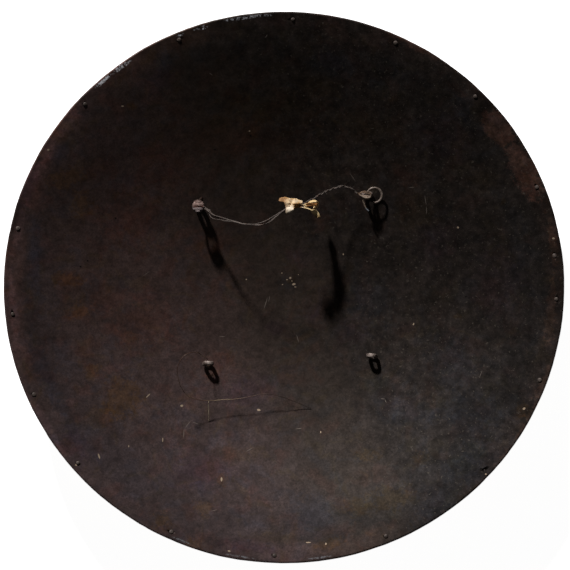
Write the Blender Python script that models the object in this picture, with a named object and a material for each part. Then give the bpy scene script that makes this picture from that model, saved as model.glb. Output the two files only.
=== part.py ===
"""Sipar: a round, shallow-domed iron shield that lies on its four outside bosses, hollow side up.

Metres, +Z up, the floor at z = 0 and the middle of the bowl over the origin. +Y is the shield's top.
"""

import math

import bmesh
import bpy
from mathutils import Matrix, Vector

# Driving dimensions of the bowl.
BOWL_RADIUS = 0.2384  # outer edge of the rolled rim, on average
OVAL = 0.008  # share by which the bowl is wider along X and narrower along Y
DOME = 0.4498  # inside radius of curvature of the crown and the middle of the bowl
BORDER_START = 0.150  # where the dome passes into the straighter border
BORDER_EASE = 0.27  # how much flatter the border ends, as a slope, than the dome's own curve would have it
PLATE = 0.0015  # thickness of the iron
RIM_BEAD = 0.0032  # diameter of the edge, which is rolled over outwards
BEAD_DROP = 0.0013  # how far the middle of the rolled edge lies below the line of the plate's inside
CROWN_CLEARANCE = 0.005  # floor to the outside of the crown
BOWL_SIDES = 64
GAP = 0.0003  # clearance between pieces that touch

# Eye bolts: plan place of each foot and turn of its eye about its own shank, in degrees.
EYE_BOLTS = {
    "top_left": (-0.0750, 0.0728, -20.0),
    "top_right": (0.0737, 0.0818, 4.0),
    "bottom_left": (-0.0670, -0.0675, 0.0),
    "bottom_right": (0.0777, -0.0607, -5.0),
}
EYE_THICKNESS = 0.0035
EYE_BAR = 0.00275  # width of the metal round the hole
EYE_HOLE_RADIUS = 0.00195
EYE_HOLE_LOW = 0.00495  # centres of the hole's round ends, above the plate
EYE_HOLE_HIGH = 0.00885
SHANK_RADIUS = 0.0025
BUTTON_RADIUS = 0.006  # riveted-over end outside
BUTTON_DOME = 0.008  # radius of curvature of its domed end
FOOT_FLAT = 0.00035  # how much of each dome is worn flat where it rests

# Outside bosses.
BOSS_RADIUS = 0.025
BOSS_HEIGHT = 0.012
BOSS_SHEET = 0.0012

# Rings in the two upper eyes.
RING_RADIUS = 0.00645  # to the middle of its wire
RING_WIRE = 0.0021
RING_REST = 0.0090  # height of the ring's wire in the eye, above the plate

# Lining rivets round the rim: angle of each, in degrees from +X.
RIVET_ANGLES = (6.8, 21.9, 45.4, 65.8, 88.1, 112.6, 136.9, 167.3, 185.7, 203.5, 220.9, 245.6, 268.0, 292.0, 339.8, 357.5)
BLOCKED_RIVET_HOLE = 317.3  # its rivet is lost, and rust and dirt fill it
BLOCKED_DEPTH = 0.0009
RIVET_INSET = 0.0065  # outer edge of the rim to the middle of a rivet
RIVET_SHANK = 0.0011
RIVET_HEAD = 0.0019
RIVET_HEAD_HEIGHT = 0.0011
RIVET_SIDES = 8

# Suspension wire, tape and fine wire.
WIRE_DIAMETER = 0.0016
FINE_WIRE_DIAMETER = 0.0005
TAPE_WIDTH = 0.0065
TAPE_THICKNESS = 0.0009

SUSPENSION_ROUTE = (
    (-0.0690, 0.0690, 0.0405),
    (-0.0667, 0.0670, 0.0430),
    (-0.0628, 0.0625, 0.0485),
    (-0.0575, 0.0598, 0.0545),
    (-0.0497, 0.0579, 0.0615),
    (-0.0413, 0.0560, 0.0660),
    (-0.0352, 0.0539, 0.0678),
    (-0.0290, 0.0531, 0.0685),
    (-0.0230, 0.0535, 0.0690),
    (-0.0145, 0.0562, 0.0692),
    (-0.0075, 0.0606, 0.0690),
    (-0.0015, 0.0648, 0.0684),
    (0.0060, 0.0699, 0.0670),
    (0.0120, 0.0713, 0.0648),
    (0.0180, 0.0727, 0.0615),
    (0.0265, 0.0773, 0.0550),
    (0.0338, 0.0816, 0.0482),
    (0.0425, 0.0855, 0.0420),
    (0.0500, 0.0875, 0.0392),
    (0.0560, 0.0870, 0.0375),
    (0.0635, 0.0820, 0.0360),
)
FINE_ROUTE = (
    (-0.0660, -0.0700, 0.0230),
    (-0.0660, -0.0665, 0.0235),
    (-0.0660, -0.0640, 0.0245),
    (-0.0670, -0.0620, 0.0275),
    (-0.0685, -0.0605, 0.0325),
    (-0.0700, -0.0595, 0.0385),
    (-0.0725, -0.0575, 0.0450),
    (-0.0755, -0.0560, 0.0525),
    (-0.0810, -0.0560, 0.0590),
    (-0.0860, -0.0590, 0.0610),
    (-0.0895, -0.0640, 0.0610),
    (-0.0915, -0.0710, 0.0595),
    (-0.0910, -0.0780, 0.0570),
    (-0.0890, -0.0850, 0.0535),
    (-0.0850, -0.0915, 0.0490),
    (-0.0800, -0.0950, 0.0445),
    (-0.0740, -0.0975, 0.0400),
    (-0.0645, -0.0980, 0.0360),
    (-0.0515, -0.0975, 0.0330),
    (-0.0385, -0.0965, 0.0315),
    (-0.0280, -0.0945, 0.0310),
    (-0.0185, -0.0925, 0.0305),
    (-0.0080, -0.0935, 0.0290),
    (0.0025, -0.0965, 0.0265),
    (0.0130, -0.1010, 0.0230),
    (0.0235, -0.1055, 0.0205),
)
FINE_STUB_ROUTE = (
    (-0.0655, -0.0990, 0.0350),
    (-0.0655, -0.1020, 0.0345),
    (-0.0655, -0.1055, 0.0330),
    (-0.0655, -0.1090, 0.0315),
    (-0.0655, -0.1125, 0.0295),
    (-0.0655, -0.1165, 0.0275),
)
WIRE_TAIL_ROUTE = (
    (0.0690, 0.0772, 0.0350),
    (0.0690, 0.0760, 0.0320),
    (0.0695, 0.0745, 0.0285),
    (0.0710, 0.0720, 0.0255),
    (0.0725, 0.0700, 0.0240),
    (0.0745, 0.0685, 0.0230),
)
TAPE_LOOP_ROUTE = (
    (0.0085, 0.0715, 0.0630),
    (0.0115, 0.0710, 0.0575),
    (0.0150, 0.0715, 0.0520),
    (0.0200, 0.0725, 0.0460),
    (0.0250, 0.0745, 0.0405),
    (0.0280, 0.0755, 0.0370),
    (0.0290, 0.0740, 0.0340),
    (0.0285, 0.0715, 0.0325),
    (0.0250, 0.0690, 0.0335),
)
TAPE_TAIL_ROUTE = (
    (0.0080, 0.0690, 0.0625),
    (0.0110, 0.0690, 0.0565),
    (0.0145, 0.0685, 0.0495),
    (0.0185, 0.0680, 0.0420),
    (0.0230, 0.0670, 0.0350),
    (0.0270, 0.0650, 0.0290),
    (0.0305, 0.0625, 0.0255),
)

# Sizes that follow from those above.
BEAD_RADIUS = RIM_BEAD / 2
EDGE_RADIUS = BOWL_RADIUS - BEAD_RADIUS  # middle of the rolled edge
BORDER_WIDTH = EDGE_RADIUS - BORDER_START
BORDER_SLOPE = BORDER_START / math.sqrt(DOME**2 - BORDER_START**2)  # where the border begins
BORDER_STEEPENING = DOME**2 / math.sqrt(DOME**2 - BORDER_START**2) ** 3
STRETCH_X, STRETCH_Y = 1 + OVAL, 1 - OVAL


def material(name, colour, roughness, metallic):
    made = bpy.data.materials.new(name)
    made.use_nodes = True
    shader = made.node_tree.nodes["Principled BSDF"]
    shader.inputs["Base Color"].default_value = (*colour, 1)
    shader.inputs["Roughness"].default_value = roughness
    shader.inputs["Metallic"].default_value = metallic
    return made


def piece(name, mesh_or_curve, finish):
    made = bpy.data.objects.new(name, mesh_or_curve)
    bpy.context.collection.objects.link(made)
    mesh_or_curve.materials.append(finish)
    return made


def mesh_from(bm, name):
    bmesh.ops.recalc_face_normals(bm, faces=bm.faces)
    mesh = bpy.data.meshes.new(name)
    bm.to_mesh(mesh)
    bm.free()
    mesh.shade_smooth()
    mesh.set_sharp_from_angle(angle=math.radians(40))
    return mesh


def turned(name, profile, sides):
    """A solid turned about Z from (radius, height) points that run from the axis to the axis."""
    bm = bmesh.new()
    points = [bm.verts.new((r, 0, z)) for r, z in profile]
    edges = [bm.edges.new(pair) for pair in zip(points, points[1:])]
    if profile[0][0] > 0:
        edges.append(bm.edges.new((points[-1], points[0])))
    bmesh.ops.spin(
        bm, geom=points + edges, axis=(0, 0, 1), cent=(0, 0, 0), angle=math.tau, steps=sides, use_merge=True
    )
    bmesh.ops.remove_doubles(bm, verts=bm.verts, dist=1e-6)
    return mesh_from(bm, name)


def inside_slope(r):
    """Rise over run of the plate's inside, at a distance from the middle."""
    if r <= BORDER_START:
        return r / math.sqrt(DOME**2 - r**2)
    beyond = r - BORDER_START
    return BORDER_SLOPE + BORDER_STEEPENING * beyond - BORDER_EASE * (beyond / BORDER_WIDTH) ** 2


def inside_height(r):
    """Height of the plate's inside over the floor, at a distance from the middle."""
    near = min(r, BORDER_START)
    height = CROWN_CLEARANCE + PLATE + DOME - math.sqrt(DOME**2 - near**2)
    beyond = r - near
    curve = BORDER_STEEPENING * beyond**2 / 2 - BORDER_EASE * beyond**3 / (3 * BORDER_WIDTH**2)
    return height + BORDER_SLOPE * beyond + curve


def seat(x, y, turn=0.0):
    """Frame on the inside of the plate at plan place x, y, its Z standing off the plate into the hollow."""
    across = Vector((x / STRETCH_X, y / STRETCH_Y))
    r = across.length
    slope, height = inside_slope(r), inside_height(r)
    out = across / r
    normal = Vector((-slope * out.x / STRETCH_X, -slope * out.y / STRETCH_Y, 1)).normalized()
    side = Vector((1, 0, 0))
    side = (side - normal * side.dot(normal)).normalized()
    axes = Matrix((side, normal.cross(side), normal)).transposed().to_4x4()
    return Matrix.Translation((x, y, height)) @ axes @ Matrix.Rotation(math.radians(turn), 4, "Z")


def cutter(made):
    made.hide_render = True
    made.display_type = "WIRE"
    return made


def join_or_cut(target, other, operation):
    change = target.modifiers.new(operation.title(), "BOOLEAN")
    change.operation = operation
    change.object = other
    change.solver = "EXACT"


def smooth_route(route, spacing):
    """Points a given distance apart on a smooth curve through the route's points."""
    places = [Vector(p) for p in route]
    ends = [2 * places[0] - places[1], *places, 2 * places[-1] - places[-2]]
    fine = []
    for a, b, c, d in zip(ends, ends[1:], ends[2:], ends[3:]):
        for i in range(24):
            t = i / 24
            fine.append(
                0.5 * (2 * b + (c - a) * t + (2 * a - 5 * b + 4 * c - d) * t**2 + (3 * b - a - 3 * c + d) * t**3)
            )
    fine.append(places[-1])
    steps = [(q - p).length for p, q in zip(fine, fine[1:])]
    count = max(3, round(sum(steps) / spacing))
    gap, walked, found = sum(steps) / count, 0.0, [fine[0]]
    for p, q, step in zip(fine, fine[1:], steps):
        while step and walked + step >= gap * len(found) and len(found) < count:
            found.append(p.lerp(q, (gap * len(found) - walked) / step))
        walked += step
    return found + [fine[-1]]


def wire(name, route, diameter, spacing, finish):
    curve = bpy.data.curves.new(name, "CURVE")
    curve.dimensions = "3D"
    curve.bevel_depth = diameter / 2
    curve.bevel_resolution = 2
    curve.use_fill_caps = True
    curve.render_resolution_u = 0
    points = smooth_route(route, spacing)
    spline = curve.splines.new("POLY")
    spline.points.add(len(points) - 1)
    for knot, place in zip(spline.points, points):
        knot.co = (*place, 1)
    return piece(name, curve, finish)


def made_mesh(tube):
    """The tube as a mesh, kept only to cut or to be joined with another piece."""
    bpy.context.view_layer.update()
    shape = bpy.data.meshes.new_from_object(tube.evaluated_get(bpy.context.evaluated_depsgraph_get()))
    name = tube.name
    bpy.data.objects.remove(tube)
    return cutter(bpy.data.objects.new(name, shape))


def ribbon(name, route, finish):
    """A strip of tape on edge: its width lies in the upright plane that its route runs in."""
    points = smooth_route(route, 0.005)
    bm = bmesh.new()
    bmesh.ops.create_grid(bm, x_segments=len(points) - 1, y_segments=1, size=1)
    rows = sorted(bm.verts, key=lambda v: (round(v.co.x, 4), v.co.y))
    for i, place in enumerate(points):
        along = (points[min(i + 1, len(points) - 1)] - points[max(i - 1, 0)]).normalized()
        flat = Vector((-along.y, along.x, 0)).normalized()
        width = along.cross(flat) * TAPE_WIDTH / 2
        rows[2 * i].co, rows[2 * i + 1].co = place - width, place + width
    made = cutter(piece(name, mesh_from(bm, name), finish))
    thick = made.modifiers.new("Thickness", "SOLIDIFY")
    thick.thickness = TAPE_THICKNESS
    thick.offset = 0
    return made


def ellipsoid(name, place, half_axes, finish, turn=None):
    bm = bmesh.new()
    bmesh.ops.create_uvsphere(bm, u_segments=9, v_segments=6, radius=1)
    bmesh.ops.scale(bm, vec=half_axes, verts=bm.verts)
    made = piece(name, mesh_from(bm, name), finish)
    made.matrix_world = Matrix.Translation(place) @ (turn or Matrix())
    return made


def ring_mesh(name, wire_radius, opening):
    """A ring in its own XY plane, open by the given angle, which is centred on its lower left side."""
    bm = bmesh.new()
    bmesh.ops.create_circle(bm, cap_ends=opening > 0, segments=6, radius=wire_radius)
    stand = Matrix.Translation((RING_RADIUS, 0, 0)) @ Matrix.Rotation(math.pi / 2, 4, "X")
    bmesh.ops.transform(bm, matrix=stand, verts=bm.verts)
    start = Matrix.Rotation(math.radians(229) + opening / 2, 4, "Z")
    bmesh.ops.transform(bm, matrix=start, verts=bm.verts)
    bmesh.ops.spin(
        bm, geom=bm.verts[:] + bm.edges[:] + bm.faces[:], axis=(0, 0, 1), cent=(0, 0, 0),
        angle=math.tau - opening, steps=16, use_merge=opening == 0,
    )
    return mesh_from(bm, name)


def bowl():
    """The dished plate with its rolled edge, pierced for the eye bolts and the rim rivets."""
    reaches = [EDGE_RADIUS * s for s in (0, 0.14, 0.28, 0.42, 0.55, 0.68, 0.80, 0.91, 0.985)]
    inside = [(r, inside_height(r)) for r in reaches]
    tilts = [math.atan(inside_slope(r)) for r in reaches]
    outside = [(r + PLATE * math.sin(t), z - PLATE * math.cos(t)) for (r, z), t in zip(inside, tilts)]
    edge_height = inside_height(EDGE_RADIUS) - BEAD_DROP
    turns = [math.radians(t) for t in (147, 90, 45, 0, -60, -150)]
    bead = [(EDGE_RADIUS + BEAD_RADIUS * math.cos(t), edge_height + BEAD_RADIUS * math.sin(t)) for t in turns]
    mesh = turned("shield_bowl", inside + bead + outside[::-1], BOWL_SIDES)
    mesh.transform(Matrix.Diagonal((STRETCH_X, STRETCH_Y, 1, 1)))
    made = piece("shield_bowl", mesh, BOWL_IRON)
    holes = bmesh.new()
    for x, y, turn in EYE_BOLTS.values():
        bmesh.ops.create_cone(
            holes, cap_ends=True, segments=12, radius1=SHANK_RADIUS + GAP, radius2=SHANK_RADIUS + GAP,
            depth=6 * PLATE, matrix=seat(x, y, turn),
        )
    for angle in (*RIVET_ANGLES, BLOCKED_RIVET_HOLE):
        rise = 2 * PLATE - BLOCKED_DEPTH if angle == BLOCKED_RIVET_HOLE else 0
        bmesh.ops.create_cone(
            holes, cap_ends=True, segments=RIVET_SIDES, radius1=RIVET_SHANK + GAP, radius2=RIVET_SHANK + GAP,
            depth=4 * PLATE, matrix=rivet_seat(angle) @ Matrix.Translation((0, 0, rise)),
        )
    join_or_cut(made, cutter(piece("bowl_holes", mesh_from(holes, "bowl_holes"), BOWL_IRON)), "DIFFERENCE")


def rivet_seat(angle):
    r, turn = BOWL_RADIUS - RIVET_INSET, math.radians(angle)
    return seat(r * STRETCH_X * math.cos(turn), r * STRETCH_Y * math.sin(turn))


def rivets():
    """Low-headed rivets that held the lining: head inside, shank through the plate, burr outside."""
    head, burr = 2 * GAP, -PLATE - GAP
    profile = [
        (0, head + RIVET_HEAD_HEIGHT),
        (RIVET_HEAD, head),
        (RIVET_SHANK, head),
        (RIVET_SHANK, burr),
        (RIVET_HEAD * 0.9, burr),
        (0, burr - RIVET_HEAD_HEIGHT * 0.7),
    ]
    mesh = turned("rim_rivet", profile, RIVET_SIDES)
    for i, angle in enumerate(RIVET_ANGLES, 1):
        made = bpy.data.objects.new(f"rim_rivet_{i:02d}", mesh)
        bpy.context.collection.objects.link(made)
        made.matrix_world = rivet_seat(angle)
    mesh.materials.append(FITTING_IRON)


def bosses():
    """Raised sheet domes outside, each held by the shank of its eye bolt."""

    def plate_back(r):
        back = DOME + PLATE
        return -PLATE - GAP + (back - math.sqrt(back**2 - r**2))

    crown = -PLATE - GAP - BOSS_HEIGHT
    hole = SHANK_RADIUS + GAP
    outside = [(BOSS_RADIUS, -0.0012), (0.0222, -0.0022), (0.0190, -0.0058), (0.0140, -0.0093), (0.0080, -0.0115)]
    profile = [(hole, crown), (hole, crown + BOSS_SHEET)]
    profile += [(r - 0.0008, z - PLATE + BOSS_SHEET) for r, z in outside[:1:-1]]
    profile += [(0.0208, plate_back(0.0208)), (BOSS_RADIUS, plate_back(BOSS_RADIUS))]
    profile += [(r, z - PLATE) for r, z in outside]
    mesh = turned("boss", profile, 16)
    mesh.materials.append(BOSS_IRON)
    for place, (x, y, turn) in EYE_BOLTS.items():
        made = bpy.data.objects.new(f"boss_{place}", mesh)
        bpy.context.collection.objects.link(made)
        made.matrix_world = seat(x, y, turn)


def stadium(radius, side_steps=5):
    """Round-ended outline of an eye or its hole, standing in the XZ plane."""
    half_turn = [math.pi * i / side_steps for i in range(side_steps + 1)]
    top = [(radius * math.cos(a), EYE_HOLE_HIGH + radius * math.sin(a)) for a in half_turn]
    bottom = [(-radius * math.cos(a), EYE_HOLE_LOW - radius * math.sin(a)) for a in half_turn]
    return top + bottom


def eye_bolts():
    """Flat eye with a shank that goes through plate and boss and is riveted over in a button."""
    under = bmesh.new()
    bmesh.ops.create_cube(under, size=0.1, matrix=Matrix.Translation((0, 0, -0.05)))
    spread = Matrix.Diagonal((3, 3, 1, 1))
    bmesh.ops.transform(under, matrix=spread, verts=under.verts)
    floor = cutter(piece("floor_cut", mesh_from(under, "floor_cut"), FITTING_IRON))
    for place, (x, y, turn) in EYE_BOLTS.items():
        frame = seat(x, y, turn)
        bm = bmesh.new()
        loops = []
        for radius in (EYE_HOLE_RADIUS + EYE_BAR, EYE_HOLE_RADIUS):
            points = [bm.verts.new((px, -EYE_THICKNESS / 2, pz)) for px, pz in stadium(radius)]
            loops += [bm.edges.new(pair) for pair in zip(points, points[1:] + points[:1])]
        flat = bmesh.ops.bridge_loops(bm, edges=loops)["faces"]
        grown = bmesh.ops.extrude_face_region(bm, geom=flat)["geom"]
        moved = [v for v in grown if isinstance(v, bmesh.types.BMVert)]
        bmesh.ops.translate(bm, vec=(0, EYE_THICKNESS, 0), verts=moved)
        bmesh.ops.recalc_face_normals(bm, faces=bm.faces)
        outer = [e for e in bm.edges if e.calc_face_angle(0) > 1.2 and is_outer(e)]
        bmesh.ops.bevel(bm, geom=outer, offset=0.0006, segments=1, profile=0.5, affect="EDGES", material=-1)
        made = piece(f"eye_bolt_{place}", mesh_from(bm, f"eye_bolt_{place}"), FITTING_IRON)
        made.matrix_world = frame

        lift = frame.translation.z - (BUTTON_DOME - FOOT_FLAT)
        dome_centre = -lift / frame.col[2].z
        top = -PLATE - GAP - BOSS_HEIGHT - GAP
        half_angle = math.asin(BUTTON_RADIUS / BUTTON_DOME)
        angles = [half_angle * s for s in (1, 0.7, 0.35)]
        dome = [(BUTTON_DOME * math.sin(a), dome_centre - BUTTON_DOME * math.cos(a)) for a in angles]
        profile = [(0, 0.0018), (SHANK_RADIUS, 0.0018), (SHANK_RADIUS, top), (BUTTON_RADIUS, top), *dome]
        profile.append((0, dome_centre - BUTTON_DOME))
        shank = cutter(piece(f"shank_{place}", turned(f"shank_{place}", profile, 12), FITTING_IRON))
        shank.matrix_world = frame
        join_or_cut(made, shank, "UNION")
        join_or_cut(made, floor, "DIFFERENCE")


def is_outer(edge):
    """Whether an edge of the flat eye lies on its outer outline."""
    middle = (edge.verts[0].co + edge.verts[1].co) / 2
    low, high = EYE_HOLE_LOW, EYE_HOLE_HIGH
    reach = math.hypot(middle.x, middle.z - min(max(middle.z, low), high))
    return reach > EYE_HOLE_RADIUS + EYE_BAR / 2


def rings():
    """The left ring stands on end, pulled up by the wire; the right one lies level and is open."""
    places = {}
    x, y, turn = EYE_BOLTS["top_left"]
    held = seat(x, y, turn) @ Vector((0, 0, RING_REST))
    up = Vector((-0.10, 0.10, 0.99)).normalized()
    along = Vector((0.485, 0.875, 0))
    along = (along - up * along.dot(up)).normalized()
    centre = held + up * RING_RADIUS
    axes = Matrix((along, up, along.cross(up))).transposed().to_4x4()
    places["left"] = (Matrix.Translation(centre) @ axes, 0.0)
    x, y, turn = EYE_BOLTS["top_right"]
    held = seat(x, y, turn) @ Vector((0, 0, RING_REST))
    places["right"] = (Matrix.Translation(held + Vector((RING_RADIUS, 0, 0))), math.radians(56))
    for side, (frame, opening) in places.items():
        mesh = ring_mesh(f"ring_{side}", RING_WIRE / 2, opening)
        piece(f"ring_{side}", mesh, FITTING_IRON).matrix_world = frame
    return places["left"][0]


def wires_and_tape(left_ring):
    """The later suspension wire with its two end windings, the tape on it and the fine wire remnant."""
    wire("suspension_wire", SUSPENSION_ROUTE, WIRE_DIAMETER, 0.0047, WIRE_IRON)

    top_of_ring = left_ring @ Vector((0, RING_RADIUS, 0))
    winding = ellipsoid("wire_winding_left", top_of_ring, (0.0056, 0.0052, 0.0044), WIRE_IRON)
    mesh = ring_mesh("ring_clearance", RING_WIRE / 2 + GAP, 0.0)
    clearance = cutter(piece("ring_clearance", mesh, WIRE_IRON))
    clearance.matrix_world = left_ring
    join_or_cut(winding, clearance, "DIFFERENCE")

    x, y, turn = EYE_BOLTS["top_right"]
    eye_top = EYE_HOLE_HIGH + EYE_HOLE_RADIUS + EYE_BAR
    half_axes = (0.0055, 0.0028, 0.0019)
    place = seat(x, y, turn) @ Matrix.Translation((-0.0018, 0.0008, eye_top + GAP + half_axes[2]))
    winding = ellipsoid("wire_winding_right", place.translation, half_axes, WIRE_IRON, place.to_3x3().to_4x4())
    tail = made_mesh(wire("wire_tail", WIRE_TAIL_ROUTE, WIRE_DIAMETER * 0.6, 0.004, WIRE_IRON))
    join_or_cut(winding, tail, "UNION")

    knot_place = Vector((0.0068, 0.0710, 0.0665))
    knot = ellipsoid("tape_scrap", knot_place, (0.0092, 0.0062, 0.0056), TAPE_CLOTH)
    knot.rotation_euler = (0, math.radians(14), math.radians(12))
    for name, route in (("tape_loop", TAPE_LOOP_ROUTE), ("tape_tail", TAPE_TAIL_ROUTE)):
        join_or_cut(knot, ribbon(name, route, TAPE_CLOTH), "UNION")
    tunnel = wire("wire_tunnel", SUSPENSION_ROUTE[9:16], WIRE_DIAMETER + 2 * GAP + 0.0010, 0.0042, TAPE_CLOTH)
    join_or_cut(knot, made_mesh(tunnel), "DIFFERENCE")

    wire("fine_wire", FINE_ROUTE, FINE_WIRE_DIAMETER, 0.006, FINE_WIRE)
    wire("fine_wire_stub", FINE_STUB_ROUTE, FINE_WIRE_DIAMETER, 0.0045, FINE_WIRE)


for old in list(bpy.data.objects):
    bpy.data.objects.remove(old, do_unlink=True)

BOWL_IRON = material("bowl_iron", (0.030, 0.021, 0.018), 0.5, 0.6)
BOSS_IRON = material("boss_iron", (0.045, 0.032, 0.026), 0.5, 0.7)
FITTING_IRON = material("fitting_iron", (0.10, 0.08, 0.07), 0.55, 0.7)
WIRE_IRON = material("wire_iron", (0.22, 0.18, 0.16), 0.6, 0.5)
FINE_WIRE = material("fine_wire_brown", (0.20, 0.13, 0.07), 0.5, 0.4)
TAPE_CLOTH = material("tape_cloth", (0.75, 0.62, 0.45), 0.9, 0.0)

bowl()
rivets()
bosses()
eye_bolts()
wires_and_tape(rings())
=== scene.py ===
import math

import bmesh
import bpy
from mathutils import Matrix, Vector, noise


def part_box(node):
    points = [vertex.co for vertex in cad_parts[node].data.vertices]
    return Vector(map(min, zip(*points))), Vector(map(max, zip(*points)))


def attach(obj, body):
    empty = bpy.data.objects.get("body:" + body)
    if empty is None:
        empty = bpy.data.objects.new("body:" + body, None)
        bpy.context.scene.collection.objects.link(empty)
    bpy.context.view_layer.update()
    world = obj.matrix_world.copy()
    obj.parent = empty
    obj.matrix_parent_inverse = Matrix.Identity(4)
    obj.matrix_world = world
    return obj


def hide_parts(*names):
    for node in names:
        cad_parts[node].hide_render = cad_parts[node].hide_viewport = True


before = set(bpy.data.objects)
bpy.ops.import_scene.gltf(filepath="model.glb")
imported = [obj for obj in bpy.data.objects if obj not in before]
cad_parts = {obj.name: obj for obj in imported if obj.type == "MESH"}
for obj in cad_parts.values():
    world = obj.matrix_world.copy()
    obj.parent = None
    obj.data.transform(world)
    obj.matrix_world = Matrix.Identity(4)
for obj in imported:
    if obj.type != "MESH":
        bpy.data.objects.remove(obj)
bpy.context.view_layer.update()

noise.seed_set(5)

# Light and view. One hard studio lamp stands low above the shield's top left, with a weak even
# fill, and the view looks straight down into the hollow from far off.
scene = bpy.context.scene
scene.view_settings.view_transform = "Standard"
RIM_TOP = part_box("shield_bowl")[1][2]


def placed(name, data):
    """A new object in the scene, for a mesh, a curve, a lamp or a camera."""
    made = bpy.data.objects.new(name, data)
    scene.collection.objects.link(made)
    return made


def mesh_of(name, bm):
    """A new mesh from a bmesh, which is freed."""
    mesh = bpy.data.meshes.new(name)
    bm.to_mesh(mesh)
    bm.free()
    return mesh


def worked_out(made):
    """A new mesh of an object as its bevel or its modifiers make it."""
    bpy.context.view_layer.update()
    return bpy.data.meshes.new_from_object(made.evaluated_get(bpy.context.evaluated_depsgraph_get()))


def metres(route):
    """The places of a route that is given in tenths of a millimetre."""
    return [tuple(value / 10000 for value in place) for place in route]


view = bpy.data.cameras.new("view")
view.sensor_width = 36
view.lens = 176.9
scene.camera = placed("view", view)
scene.camera.location = (0.0009, 0.0021, RIM_TOP + 2.4)

lamp = bpy.data.lights.new("lamp", "AREA")
lamp.shape = "ELLIPSE"
lamp.size = 0.16
lamp.size_y = 0.26
lamp.energy = 115
lamp_stand = placed("lamp", lamp)
toward_lamp = Vector((-0.297, 0.804, 0.515)).normalized()
lamp_stand.location = Vector((0, 0, 0.03)) + 3 * toward_lamp
lamp_stand.rotation_euler = toward_lamp.to_track_quat("Z", "Y").to_euler()

world = bpy.data.worlds.new("fill")
world.use_nodes = True
world.node_tree.nodes["Background"].inputs["Color"].default_value = (1, 1, 1, 1)
world.node_tree.nodes["Background"].inputs["Strength"].default_value = 0.04
scene.world = world

bm = bmesh.new()
bmesh.ops.create_grid(bm, x_segments=1, y_segments=1, size=4)
floor_mesh = mesh_of("floor", bm)
floor_paint = bpy.data.materials.new("floor_paint")
floor_paint.use_nodes = True
floor_sockets = floor_paint.node_tree.nodes["Principled BSDF"].inputs
for key, value in (
    ("Base Color", (0.8, 0.8, 0.8, 1)), ("Roughness", 0.9),
    ("Emission Color", (1, 1, 1, 1)), ("Emission Strength", 0.95),
):
    floor_sockets[key].default_value = value
floor_mesh.materials.append(floor_paint)
placed("floor", floor_mesh)


# Suspension wire. A later length of soft iron wire, doubled and twisted by hand, strung between
# the two upper rings so that the shield could hang on a wall. It is stiff enough to arch up.
SUSPENSION_ROUTE = metres((
    (-690, 690, 405), (-667, 670, 430), (-628, 625, 485), (-575, 598, 545), (-497, 579, 615),
    (-413, 560, 660), (-352, 539, 678), (-290, 531, 685), (-230, 535, 690), (-145, 562, 692),
    (-75, 606, 690), (-15, 648, 684), (60, 699, 670), (120, 713, 648), (180, 727, 615), (265, 773, 550),
    (338, 816, 482), (425, 855, 420), (500, 875, 392), (560, 870, 375), (635, 820, 360),
))
STRAND = 0.00085
TWIST_PITCH = 0.0105
LOOSE_PITCH = 0.080
WIRE_STEP = 0.0008
REJOINING = 12


def smooth_route(route, spacing):
    """Points a given distance apart on a smooth curve through the route's points."""
    places = [Vector(p) for p in route]
    ends = [2 * places[0] - places[1], *places, 2 * places[-1] - places[-2]]
    fine = []
    for a, b, c, d in zip(ends, ends[1:], ends[2:], ends[3:]):
        for i in range(24):
            t = i / 24
            square, cube = 2 * a - 5 * b + 4 * c - d, 3 * b - a - 3 * c + d
            fine.append(0.5 * (2 * b + (c - a) * t + square * t**2 + cube * t**3))
    fine.append(places[-1])
    steps = [(q - p).length for p, q in zip(fine, fine[1:])]
    count = max(3, round(sum(steps) / spacing))
    gap, walked, found = sum(steps) / count, 0.0, [fine[0]]
    for p, q, step in zip(fine, fine[1:], steps):
        while step and walked + step >= gap * len(found) and len(found) < count:
            found.append(p.lerp(q, (gap * len(found) - walked) / step))
        walked += step
    return found + [fine[-1]]


def add_strands(name, strands):
    """One mesh of round wires, each given as its diameter and the points it runs through."""
    curve = bpy.data.curves.new(name, "CURVE")
    curve.dimensions = "3D"
    curve.bevel_depth = 0.5
    curve.bevel_resolution = 2
    curve.use_fill_caps = True
    curve.render_resolution_u = 0
    for diameter, points in strands:
        spline = curve.splines.new("POLY")
        spline.points.add(len(points) - 1)
        for knot, place in zip(spline.points, points):
            knot.co = (*place, 1)
            knot.radius = diameter
    holder = placed(name, curve)
    mesh = worked_out(holder)
    bpy.data.objects.remove(holder)
    mesh.name = name
    mesh.shade_smooth()
    return placed(name, mesh)


def add_node(tree, kind, sockets=None, **settings):
    """A shader node with its settings, and its sockets set to values or joined to other nodes' sockets."""
    made = tree.nodes.new("ShaderNode" + kind)
    for key, value in settings.items():
        setattr(made, key, value)
    for key, value in (sockets or {}).items():
        if isinstance(value, bpy.types.NodeSocket):
            tree.links.new(value, made.inputs[key])
        else:
            made.inputs[key].default_value = value
    return made


def blended(share, low, high, kind="MIX"):
    """Colour socket that goes from low to high with the share socket. Low and high are colours or sockets."""
    low, high = ((*colour, 1) if isinstance(colour, tuple) else colour for colour in (low, high))
    sockets = {0: share, 6: low, 7: high}
    return add_node(share.id_data, "Mix", sockets, data_type="RGBA", blend_type=kind).outputs[2]


def worked(kind, *values):
    """Socket with the outcome of a sum. The first of the values is a socket too."""
    return add_node(values[0].id_data, "Math", dict(enumerate(values)), operation=kind).outputs[0]


def product(one, other):
    return worked("MULTIPLY", one, other)


def sums(value, factor, more):
    return worked("MULTIPLY_ADD", value, factor, more)


def spread(value, low, high):
    """Value socket remapped smoothly from low..high to 0..1, and held there beyond."""
    ends = {0: value, 1: low, 2: high}
    return add_node(value.id_data, "MapRange", ends, interpolation_type="SMOOTHSTEP").outputs[0]


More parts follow.
